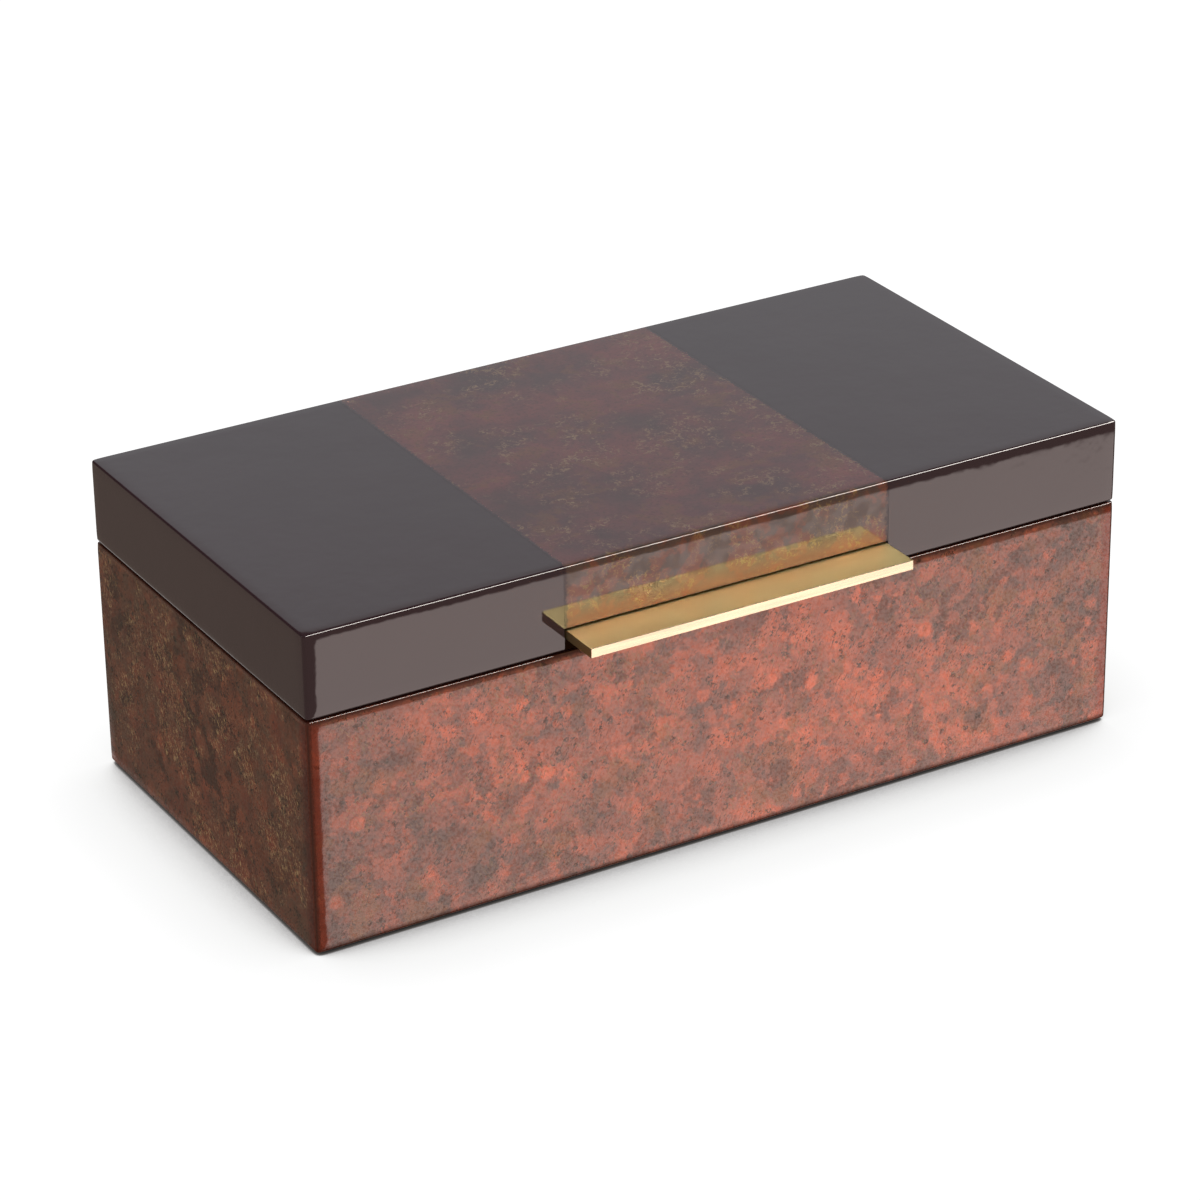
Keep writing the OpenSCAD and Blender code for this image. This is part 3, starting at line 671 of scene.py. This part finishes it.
def velvet(tree):
    """A slow nap between two browns, brightened by the pile, a fast noise that also roughens the surface."""
    pile = tree.noise(2600, 2, 0.7)
    nap = tree.noise(34, 3, 0.6, 0.8)
    colour = tree.mix(tree.fade(nap, 0.35, 0.65), (0.03, 0.012, 0.011), (0.062, 0.026, 0.022))
    return {"Base Color": tree.mix(tree.fade(pile, 0.3, 0.7), colour, (0.085, 0.04, 0.034), "SCREEN"),
            "Normal": tree.bump(pile, 0.6, 0.35 * mm)}


dark_velvet = finish("dark_velvet", velvet, Roughness=0.95, Specular_IOR_Level=0.15, Sheen_Weight=0.7,
                     Sheen_Roughness=0.35, Sheen_Tint=(0.75, 0.48, 0.42))


def felt(tree):
    """Two near blacks and a bump, both by one tangled noise."""
    fibres = tree.noise(1500, 4, 0.75, 1.5)
    return {"Base Color": tree.mix(fibres, (0.012, 0.011, 0.011), (0.035, 0.032, 0.031)),
            "Normal": tree.bump(fibres, 0.7, 0.3 * mm)}


wool_felt = finish("wool_felt", felt, Roughness=1.0, Specular_IOR_Level=0.1, Sheen_Weight=0.3,
                   Sheen_Roughness=0.6)


# %% [markdown]
# ## A ring of stations
#
# The case and the lid have the same plan: a rectangle with small round corners. A profile is carried round
# it. Each station has a place, which is clipped to the plan, and a direction that points out of it. So one
# formula gives the point at any distance in from the outline, and the corner's round shrinks to a sharp
# corner once the distance passes its radius. A hand-rubbed face isn't flat. It falls away a little towards
# its edges, which bends what it mirrors there and gives each face its darker rim.

# %% Ring, ease and profile helpers
CORNER_RADIUS = 1.4 * mm
EDGE_SLOPE, UPRIGHT_EASE, LEVEL_EASE = 0.05, 4.4 * mm, 3.4 * mm
NEAR_EDGE = np.array([0.0, 0.4, 0.8, 1.3, 1.9, 2.6, 3.4, 4.3, 5.2, 6.2, 8.0]) * mm
HAIR = 0.02 * mm


def ease(distance, width):
    """How far a face falls back at a distance from its edge: a parabola that leans by EDGE_SLOPE at the edge
    and reaches zero after a width."""
    return EDGE_SLOPE * width / 2 * np.clip(1 - distance / width, 0, 1) ** 2


EDGE_BACK = ease(0, LEVEL_EASE)  # how far a face stands back at its level edges
print("faces fall back", round(EDGE_BACK / mm, 3), "mm at their level edges")


def stops(end, extra=(), pitch=12 * mm):
    """Places from -end to end: dense at both ends, about a pitch apart between, and at the extra places."""
    inner = end - NEAR_EDGE[-1]
    middle = np.linspace(-inner, inner, max(2, int(round(2 * inner / pitch)) + 1))
    return np.unique(np.round(np.concatenate([middle, end - NEAR_EDGE, NEAR_EDGE - end, extra]), 7))


def ring_of(xs, ys, turn_steps=6):
    """Stations once round the plan, from the front to the right: each side, then the turn at its end. Columns
    are the place before clipping, and the outward direction."""
    far = 9.0  # metres: past any box, so that the plan's outline clips it
    outs = np.array([[0, -1], [1, 0], [0, 1], [-1, 0], [0, -1]])
    parts = []
    for k, along in enumerate((xs, ys, xs[::-1], ys[::-1])):
        place = along[:, None] * (1 - np.abs(outs[k])) + far * outs[k]
        parts.append(np.column_stack([place, np.tile(outs[k], (len(along), 1))]))
        angle = np.radians(np.linspace(0, 90, turn_steps + 1) + 90 * k - 90)
        place = np.tile(far * (outs[k] + outs[k + 1]), (len(angle), 1))
        parts.append(np.column_stack([place, np.cos(angle), np.sin(angle)]))
    return np.concatenate(parts)


def on_ring(ring, extent, radius, inset):
    """Points in plan at an inset (rows, stations) from a rounded rectangle of half sizes extent."""
    limit = extent - np.maximum(radius, inset)[..., None]
    return np.clip(ring[:, :2], -limit, limit) + np.maximum(radius - inset, 0)[..., None] * ring[:, 2:]


def raised(plan, z):
    """Points from a plan (rows, stations, 2) and one height for each row."""
    return np.concatenate([plan, np.broadcast_to(z[:, None, None], plan[..., :1].shape)], axis=-1)


def quarter(inset, z, radius, start, end, steps=6):
    """Rows (inset, z) on a round about a centre, from one angle to another. 180 points out, 90 up."""
    angle = np.radians(np.linspace(start, end, steps + 1))
    return np.column_stack([inset + radius * np.cos(angle), z + radius * np.sin(angle)])


def patch(xs, ys, z):
    """Flat or crowned rectangle over two lists of places. z is a number or a function of x and y."""
    x, y = np.meshgrid(xs, ys, indexing="ij")
    return np.stack([x, y, z(x, y) if callable(z) else np.full_like(x, z)], axis=-1), False


# %% [markdown]
# ## The case's skin
#
# The four walls are separate boards, but the lacquer runs over their mitres without a line, so one closed
# surface stands for them: up the outside, over the rim, down the inside and back through the rebate that
# holds the floor. Behind, the rim is let down where the hinge leaves lie.

# %% Case shell
FOOT_RADIUS, RIM_RADIUS, INNER_RADIUS = 1.0 * mm, 0.38 * mm, 0.3 * mm
RIM_LEAN = 1.8  # the rim leans back this much more than the foot
LEAF_CORNER = 2.55 * mm  # radius that the router leaves in a mortise's inner corners


def mortise_ends():
    """Places just outside both ends of both hinge mortises, at the ends, and along their rounded corners."""
    round_steps = LEAF_CORNER * (1 - np.cos(np.radians([0, 20, 38, 54, 70, 90])))
    from_end = np.concatenate([[-HAIR], round_steps])
    ends = np.concatenate([leaf_mid - leaf_half + from_end, leaf_mid + leaf_half - from_end])
    return np.concatenate([ends, -ends])


def shallower(x):
    """How much less deep a mortise is towards its ends, where its inner corners follow the router's round,
    and minus one past its ends."""
    from_end = leaf_half - np.abs(np.abs(x) - leaf_mid)
    chord = LEAF_CORNER ** 2 - np.clip(LEAF_CORNER - from_end, 0, LEAF_CORNER) ** 2
    return np.where(from_end < -HAIR / 4, -1.0, LEAF_CORNER - np.sqrt(np.clip(chord, 0, None)))


def sink_mortises(points, rows, floor, keep):
    """Lets the rim down to the mortises' floor. The two rows beside the mortise's inner edge first move in
    along its rounded corners. keep is np.minimum for a rim below the hinge, np.maximum for one above it."""
    short = shallower(points[..., 0])
    inside = (short >= 0) & (points[..., 1] > 0)
    beside = np.abs(rows[:, :1] - leaf_depth) < 2 * HAIR
    points[..., 1] += np.where(inside & beside, short, 0)
    sunk = inside & (points[..., 1] > half[1] - leaf_depth + short - HAIR / 4)
    points[..., 2] = np.where(sunk, keep(points[..., 2], floor), points[..., 2])
    return points


def face_rows(low, high, extra=(), lean=1.0):
    """Rows of an outer face between its two rounded edges, with the face's ease at both ends. The upper edge
    may lean back more than the lower one."""
    middle, reach = (low + high) / 2, (high - low) / 2
    z = middle + stops(reach, np.asarray(extra) - middle)
    return np.column_stack([ease(z - low, LEVEL_EASE) + lean * ease(high - z, LEVEL_EASE), z])


side_ys = stops(half[1] - CORNER_RADIUS)
case_ring = ring_of(stops(half[0] - CORNER_RADIUS, mortise_ends()), side_ys)
foot, rim = case_low[2], case_high[2]
outside = np.concatenate([
    quarter(EDGE_BACK + FOOT_RADIUS, foot + FOOT_RADIUS, FOOT_RADIUS, 270, 180),
    face_rows(foot + FOOT_RADIUS, rim - RIM_RADIUS, [case_mortise], RIM_LEAN)[1:-1],
    quarter(RIM_LEAN * EDGE_BACK + RIM_RADIUS, rim - RIM_RADIUS, RIM_RADIUS, 180, 90)])
inside = np.concatenate([
    [[leaf_depth - HAIR, rim], [leaf_depth + HAIR, rim]],
    quarter(wall - INNER_RADIUS, rim - INNER_RADIUS, INNER_RADIUS, 90, 0, 3),
    [[wall, (rim + floor_high[2]) / 2], [wall, floor_high[2]], [rebate, floor_high[2]], [rebate, foot]]])


def carry(ring, rows, outer_rows, corner):
    """Carries profile rows round the ring. The outer rows also fall away towards the upright edges."""
    place = np.clip(ring[:, :2], -half, half)
    along = np.where(ring[:, 2] == 0, half[0] - np.abs(place[:, 0]), half[1] - np.abs(place[:, 1]))
    along[(ring[:, 2] != 0) & (ring[:, 3] != 0)] = 0
    share = np.zeros((len(rows), 1))
    share[outer_rows] = 1
    inset = rows[:, :1] + share * ease(along - corner, UPRIGHT_EASE)[None, :]
    return raised(on_ring(ring, half, corner, inset), rows[:, 1])


rows = np.concatenate([outside, inside])
points = carry(case_ring, rows, slice(len(outside)), CORNER_RADIUS)
points = sink_mortises(points, rows, case_mortise, np.minimum)
points = np.concatenate([points, points[:1]])  # the last row meets the first
dress(mesh_piece("case_shell", [(points, True)]), "case", mottled_lacquer, CASE_NODES)


# %% [markdown]
# ## The lid's skin
#
# The lid is a shallow tray turned over. Its profile starts at the ceiling, runs down the inside, round the
# lower rim and up the outside to the top, where a crowned patch closes it. The room for the veneer band is
# a step of its thickness in every point between the band's edges. The bar's mortise is a pocket in the
# front.

# %% Lid shell
LID_RIM_RADIUS, TOP_RADIUS = 0.6 * mm, 0.65 * mm
lid_rim, lid_top = lid_low[2], lid_high[2]
pocket_low, pocket_high = pull_low[2] - 0.1 * mm, pull_high[2] + 0.45 * mm
pocket_half, pocket_y = pull_high[0] + 0.1 * mm, pull_high[1] + 0.1 * mm
band_and_pocket = [side * (edge + gap)
                   for side in (-1, 1) for edge in (band_half, pocket_half) for gap in (0, HAIR)]
lid_xs = stops(half[0] - CORNER_RADIUS, np.concatenate([mortise_ends(), band_and_pocket]))
lid_ring = ring_of(lid_xs, side_ys)
TOP_EDGE = EDGE_BACK + TOP_RADIUS


def top_height(x, y):
    """Height of the crowned top: flat in the middle, easing down towards all four edges."""
    return (lid_top - ease(half[0] - TOP_EDGE - np.abs(x), LEVEL_EASE)
            - ease(half[1] - TOP_EDGE - np.abs(y), LEVEL_EASE))


pocket_rows = [pocket_low, pocket_low + HAIR, pocket_high - HAIR, pocket_high, lid_mortise]
lid_face = np.concatenate([
    quarter(EDGE_BACK + LID_RIM_RADIUS, lid_rim + LID_RIM_RADIUS, LID_RIM_RADIUS, 270, 180),
    face_rows(lid_rim + LID_RIM_RADIUS, lid_top - TOP_RADIUS, pocket_rows)[1:-1],
    quarter(TOP_EDGE, lid_top - TOP_RADIUS, TOP_RADIUS, 180, 90)])
top_rows = np.column_stack([TOP_EDGE + NEAR_EDGE[1:], np.full(len(NEAR_EDGE) - 1, lid_top)])
lid_inside = np.concatenate([
    [[wall, ceiling], [wall, (ceiling + lid_rim) / 2]],
    quarter(wall - INNER_RADIUS, lid_rim + INNER_RADIUS, INNER_RADIUS, 0, -90, 3),
    [[leaf_depth + HAIR, lid_rim], [leaf_depth - HAIR, lid_rim]]])


def crown(points):
    """Lets down whatever lies within reach of the lid's top, by as much as the top is crowned there."""
    near_top = np.clip(1 - (lid_top - TOP_RADIUS - points[..., 2]) / UPRIGHT_EASE, 0, 1)
    points[..., 2] -= near_top * (lid_top - top_height(points[..., 0], points[..., 1]))
    return points


def make_room(points):
    """Steps a lid's points back for the veneer band and for the bar's mortise."""
    x, y, z = points[..., 0], points[..., 1], points[..., 2]
    banded = np.abs(x) <= band_half + HAIR / 4
    points[..., 1] = np.where(banded, np.clip(y, veneer - half[1], half[1] - veneer), y)
    points[..., 2] = np.where(banded, np.minimum(z, lid_top - veneer), z)
    in_pocket = ((np.abs(x) <= pocket_half + HAIR / 4) & (y < pocket_y)
                 & (z > pocket_low + HAIR / 4) & (z < pocket_high - HAIR / 4))
    points[..., 1] = np.where(in_pocket, pocket_y, points[..., 1])
    return points


rows = np.concatenate([lid_inside, lid_face, top_rows])
skin = carry(lid_ring, rows, slice(len(lid_inside), len(lid_inside) + len(lid_face)), CORNER_RADIUS)
skin[len(lid_inside):] = crown(skin[len(lid_inside):])
skin = sink_mortises(make_room(skin), rows, lid_mortise, np.maximum)
crown_in = top_rows[-1, 0]
crown_xs, ceiling_xs, crown_ys, ceiling_ys = (
    np.unique(np.clip(places, inset - reach, reach - inset))
    for places, reach in ((lid_xs, half[0]), (side_ys, half[1])) for inset in (crown_in, wall))
crown_grid, _ = patch(crown_xs, crown_ys, top_height)
lid_shell = mesh_piece("lid_shell", [
    (skin, True), (make_room(crown_grid), False), patch(ceiling_xs, ceiling_ys, ceiling)])
dress(lid_shell, "lid", dark_lacquer, LID_NODES)


# %% [markdown]
# ## The band
#
# The veneer is one strip that runs up the front, over the top and down the back, and a short strip below
# the bar. Its outside is the same formula as the lid's, so the two are flush, and its inside is the step
# behind it.

# %% Band pieces
def band_strip(name, rows, replaced=()):
    """A strip of veneer along rows (y, z) of the lid's outside, closed all round."""
    edge = band_half - HAIR
    xs = np.concatenate([[-edge], lid_xs[np.abs(lid_xs) < edge - mm], [edge]])
    x, row = np.meshgrid(xs, np.arange(len(rows)))
    out = np.stack([x, rows[row, 0], rows[row, 1]], axis=-1)
    back = out[:, ::-1].copy()
    reach = half[1] - veneer + HAIR / 2
    back[..., 1] = np.clip(back[..., 1], -reach, reach)
    back[..., 2] = np.minimum(back[..., 2], lid_top - veneer + HAIR / 2)
    loop = np.concatenate([out, back], axis=1)
    ends = [np.stack([out[i], back[i][::-1]]) for i in (0, -1)]
    piece = mesh_piece(name, [(loop, True), (ends[0], False), (ends[1], False)])
    dress(piece, "lid", band_lacquer, replaced)


def outside_rows():
    """The lid's outside in its middle, from the front's foot over the top to the back's foot, as (y, z)."""
    front = np.concatenate([lid_face, top_rows])
    front = crown(np.column_stack([np.zeros(len(front)), front[:, 0] - half[1], front[:, 1]]))[:, 1:]
    across = crown_ys[(crown_ys > front[-1, 0] + mm) & (crown_ys < -front[-1, 0] - mm)]
    across = np.column_stack([across, top_height(np.zeros(len(across)), across)])
    return np.concatenate([front, across, front[::-1] * [-1, 1]])


rows = outside_rows()
behind_rim = (rows[:, 1] < lid_rim + LID_RIM_RADIUS) & (np.abs(rows[:, 0]) < half[1] - veneer + HAIR)
rows = rows[~behind_rim]
is_front = rows[:, 0] < 0
above = rows[~is_front | (rows[:, 1] > pocket_high - HAIR / 4)]
below = rows[is_front & (rows[:, 1] < pocket_low + HAIR / 4)]
band_strip("band_over_lid", above, ["inlay_top", "inlay_front", "inlay_back"])
band_strip("band_below_bar", below)


# %% [markdown]
# ## The bar
#
# The pull is a length of flat brass, sawn off and dressed with a file: all its edges carry a narrow bevel,
# and its corners are eased a little. A ring of stations goes round its plan, as for the case, with a
# profile of bevel, edge and bevel.

# %% Brass bar
BAR_BEVEL, BAR_CORNER = 0.06 * mm, 0.15 * mm


def slab(name, low, high, corner, edge_rows):
    """Closed slab between two corners of a box. edge_rows (inset, z share) run round its edge from the bottom
    to the top. Each face is a fan: its outline, shrunk step by step towards the middle."""
    centre, extent = (low[:2] + high[:2]) / 2, (high[:2] - low[:2]) / 2

    def places(reach, count):
        """Evenly spread places along a side, and more beside its corners."""
        near = reach - corner - np.array([0, 0.1, 0.5]) * mm
        return np.unique(np.concatenate([np.linspace(-0.95, 0.95, count) * reach, near, -near]))

    xs, ys = places(extent[0], 23), places(extent[1], 7)
    ring = ring_of(xs, ys, 4)
    inset = np.broadcast_to(edge_rows[:, :1], (len(edge_rows), len(ring)))
    plan = on_ring(ring, extent, corner, inset)
    z = low[2] + edge_rows[:, 1] * (high[2] - low[2])
    shrink = 1 - np.array([0, 0.01, 0.04, 0.2, 0.4, 0.6, 0.8, 1])[:, None, None]
    sides = raised(plan, z)
    fans = [raised(plan[row] * shrink, np.full(len(shrink), z[row])) for row in (0, -1)]
    for grid in (sides, *fans):
        grid[..., :2] += centre
    return mesh_piece(name, [(grid, True) for grid in (sides, *fans)])


thick = pull_high[2] - pull_low[2]
bevel = np.array([[1, 0], [0.3, 0.3], [0, 1], [0, 1.8]]) * [BAR_BEVEL, BAR_BEVEL / thick]
bar_rows = np.concatenate([bevel, bevel[::-1] * [1, -1] + [0, 1]])
brass_bar = slab("brass_bar", pull_low, pull_high, BAR_CORNER, bar_rows)
dress(brass_bar, "lid", satin_brass, ["pull_plate"])


# %% [markdown]
# ## The padded lining
#
# Each board is a thin card with wadding, wrapped in velvet. It is crowned: full in the middle, rolling over
# towards its edges, where the cloth is pulled round to the back and puckers a little. Its thickness is a
# function of the place on the board, and its back lies flat on the wood. The cloth is glued down all over,
# so it is worked out as a surface and not settled as a free cloth.

# %% Lining boards
ROLL = 3.2 * mm  # how far in from its edges a board rolls over
ROLL_SHARE, CROWN_SHARE = 0.8, 0.2  # how much of the thickness the roll and the crown make up
FOLD_HEIGHT, FOLD_REACH = 0.1 * mm, 3.0 * mm
NEAR_SEAM = np.array([0, 0.05, 0.2, 0.45, 0.8, 1.25, 1.8, 2.4, 3.2, 4.4, 6.0]) * mm


def padded_board(name, node, axis, way, body, seed):
    """A padded board in the room of a node. axis is the direction through its thickness and way the side that
    its soft face looks to. The face rises along a quarter of an ellipse within ROLL of the edges, then crowns
    by a fourth power of the place, and small folds run in from the edges and die out over FOLD_REACH."""
    low, high = box_of(node)
    across = [i for i in range(3) if i != axis]
    size, thickness = high - low, high[axis] - low[axis]
    length, width = size[across[0]], size[across[1]]

    def places(reach):
        """Places along a side, dense near both ends."""
        count = max(3, int(reach / (2.5 * mm)))
        inner = np.linspace(-reach / 2 + 8 * mm, reach / 2 - 8 * mm, count)
        return np.unique(np.concatenate([NEAR_SEAM - reach / 2, inner, reach / 2 - NEAR_SEAM]))

    u, v = np.meshgrid(places(length), places(width), indexing="ij")
    gap_u, gap_v = length / 2 - np.abs(u), width / 2 - np.abs(v)
    rng = np.random.default_rng(seed)

    def folds(along, gap):
        """Small uneven folds that start at an edge and die out inwards."""
        waves = sum(np.sin(along * 2 * np.pi / pitch + phase) for pitch, phase in
                    zip(rng.uniform(5, 11, 4) * mm, rng.uniform(0, 6.28, 4))) / 4
        return waves * np.exp(-gap / FOLD_REACH)

    def rise(gap):
        """Height on a quarter of an ellipse, from 0 at the edge to 1 at ROLL from it."""
        return np.sqrt(np.clip(1 - (1 - np.clip(gap / ROLL, 0, 1)) ** 2, 0, 1))

    body_height = rise(gap_u) * rise(gap_v)
    full = (1 - (2 * u / length) ** 4) * (1 - (2 * v / width) ** 4)
    dents = folds(v, gap_u) + folds(u, gap_v)
    soft = (thickness * (ROLL_SHARE * body_height + CROWN_SHARE * full)
            + FOLD_HEIGHT * dents * body_height)
    back = np.zeros((*u.shape, 3))
    back[..., across] = np.stack([u, v], axis=-1) + (low[across] + high[across]) / 2
    back[..., axis] = low[axis] if way > 0 else high[axis]
    front = back.copy()
    front[1:-1, 1:-1, axis] += way * np.maximum(soft, 0)[1:-1, 1:-1]
    piece = mesh_piece(name, [(front, False), (back[::-1], False)], crease=60)
    dress(piece, body, dark_velvet, [node])


BOARDS = [("front", 1, 1), ("back", 1, -1), ("left", 0, 1), ("right", 0, -1)]
for body in ("case", "lid"):
    for number, (side, axis, way) in enumerate(BOARDS):
        padded_board(f"{body}_{side}_padding", f"{body}_{side}_lining", axis, way, body, 10 + number)
padded_board("floor_cushion", "floor_pad", 2, 1, "case", 31)
padded_board("ceiling_cushion", "lid_pad", 2, -1, "lid", 32)


# %% [markdown]
# ## Felt
#
# A sheet of felt closes the box underneath, cut a little smaller than the case so that it shows only as a
# thin dark line. Four felt dots on the rim soften the fall of the lid. Both are cut, not moulded, so their
# edges are square with a faint fuzz.

# %% Felt sheet and dots
felt_low, felt_high = box_of("base_felt")
felt_rows = np.array([[0.25 * mm, 0], [0, 0.25], [0, 0.8], [0.2 * mm, 1]])
felt_sheet = slab("felt_sheet", felt_low, felt_high, 4 * mm, felt_rows)
dress(felt_sheet, "case", wool_felt, ["base_felt"])

DOT_RADIUS = 2.5 * mm
dot_low, dot_high = box_of("rim_bumpers")
turn = np.linspace(0, 2 * np.pi, 24, endpoint=False)
dot_rows = np.array([[0, 0], [1, 0], [1.0, 0.7], [0.94, 0.9], [0.8, 0.97], [0, 1]])
dots = []
for x in (dot_low[0] + DOT_RADIUS, dot_high[0] - DOT_RADIUS):
    for y in (dot_low[1] + DOT_RADIUS, dot_high[1] - DOT_RADIUS):
        radius = DOT_RADIUS * dot_rows[:, :1]
        height = dot_low[2] + (dot_high[2] - dot_low[2]) * np.broadcast_to(dot_rows[:, 1:], (6, 24))
        dots.append((np.stack([x + radius * np.cos(turn), y + radius * np.sin(turn), height], axis=-1), True))
dress(mesh_piece("felt_dots", dots), "case", wool_felt, ["rim_bumpers"])


# %% [markdown]
# ## The parts kept as they are
#
# Hinges, pins, screws, the floor panel and the tongues in the mitres have their real shape in the frame.
# They only need their finish: satin brass for the hardware, near-black wood as painted shade for the floor,
# bare wood for the tongues.

# %% Finish the carried-over nodes
HARDWARE = [f"{side}_hinge_{part}" for side in ("left", "right") for part in ("case_leaf", "lid_leaf", "pin")]
HARDWARE += ["hinge_case_screws", "hinge_lid_screws", "pull_screws"]
# The floor panel gets the near-black wood that is painted shade for its gap.
KEPT = {**dict.fromkeys(HARDWARE, satin_brass), "case_floor_panel": gap_shade_wood,
        "case_corner_tongues": bare_wood, "lid_corner_tongues": bare_wood}
for node, material in KEPT.items():
    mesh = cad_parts[node].data
    mesh.materials.clear()
    mesh.materials.append(material)
print("kept nodes", len(KEPT))
